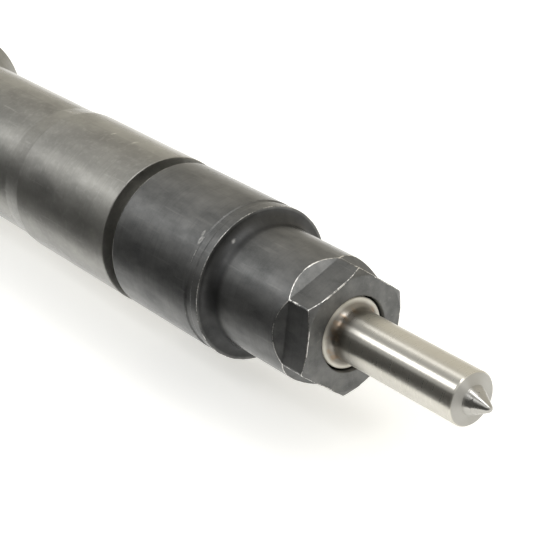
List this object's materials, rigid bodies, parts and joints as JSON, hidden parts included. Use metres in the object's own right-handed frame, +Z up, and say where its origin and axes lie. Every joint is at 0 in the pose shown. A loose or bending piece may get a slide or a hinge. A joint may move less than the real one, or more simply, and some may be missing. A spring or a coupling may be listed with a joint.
{
  "type": "diesel fuel injector",
  "caption": "Common-rail diesel injector: slim nozzle in a hex nut, long body with clamp slots, side inlet, solenoid valve with plug socket and return pipe.",
  "frame": {"origin": "middle of the nozzle nut's front face, where the copper washer seals the injector in the cylinder head", "axes": "+X along the injector's axis towards the nozzle's tip, +Z up, the side of the fuel inlet, and the plug socket on the -Y side"},
  "size_m": [0.2199, 0.0455, 0.0531],
  "materials": {
    "ground_steel": "ground",
    "hard_steel": "ground",
    "black_steel": "manganese phosphate",
    "grey_steel": "satin, oiled",
    "spring_steel": "drawn wire",
    "zinc_steel": "zinc plated",
    "soft_iron": "machined",
    "copper_wire": "enamelled",
    "black_plastic": "moulded",
    "black_rubber": "moulded",
    "seal_plastic": "moulded",
    "tinned_brass": "tinned",
    "bronze": "machined"
  },
  "bodies": {
    "injector": {"nozzle_body": "ground_steel", "dowel_pins": "hard_steel", "retaining_nut": "black_steel", "injector_body": "grey_steel", "nozzle_spring": "spring_steel", "spring_shim": "hard_steel", "valve_piece": "hard_steel", "pressure_seal_ring": "seal_plastic", "valve_set_nut": "grey_steel", "armature_guide": "hard_steel", "armature_spring": "spring_steel", "lift_shim": "hard_steel", "magnet_core": "soft_iron", "coil_bobbin": "black_plastic", "solenoid_coil": "copper_wire", "solenoid_spring": "spring_steel", "spring_seat": "hard_steel", "magnet_housing": "zinc_steel", "solenoid_o_ring": "black_rubber", "solenoid_nut": "black_steel", "head_o_ring": "black_rubber", "connector_housing": "black_plastic", "connector_pins": "tinned_brass", "return_nipple": "zinc_steel", "inlet_stub": "zinc_steel", "edge_filter": "bronze"},
    "needle": {"nozzle_needle": "hard_steel", "pressure_pin": "hard_steel"},
    "piston": {"control_piston": "hard_steel"},
    "valve_pin": {"armature_pin": "hard_steel", "ball_holder": "hard_steel", "valve_ball": "hard_steel", "armature_clip": "spring_steel"},
    "armature": {"armature_plate": "soft_iron"}
  },
  "joints": [
    {"name": "needle_lift", "type": "slide", "parent": "injector", "child": "needle", "axis": [-1, 0, 0], "range_m": [0, 0.00025], "stiffness_N_per_m": 25000, "springref_m": -0.0015, "deforming": ["nozzle_spring"]},
    {"name": "piston_lift", "type": "slide", "parent": "injector", "child": "piston", "axis": [-1, 0, 0], "range_m": [0, 0.00025]},
    {"name": "valve_lift", "type": "slide", "parent": "injector", "child": "valve_pin", "axis": [-1, 0, 0], "range_m": [0, 0.00006], "stiffness_N_per_m": 20000, "springref_m": -0.0012, "deforming": ["solenoid_spring", "armature_spring"]},
    {"name": "armature_overtravel", "type": "slide", "parent": "valve_pin", "child": "armature", "axis": [1, 0, 0], "range_m": [0, 0.00004], "stiffness_N_per_m": 2000, "springref_m": -0.0005, "deforming": ["armature_spring"]}
  ],
  "couplings": [
    {"joint": "piston_lift", "follows": "needle_lift", "ratio": 1}
  ]
}
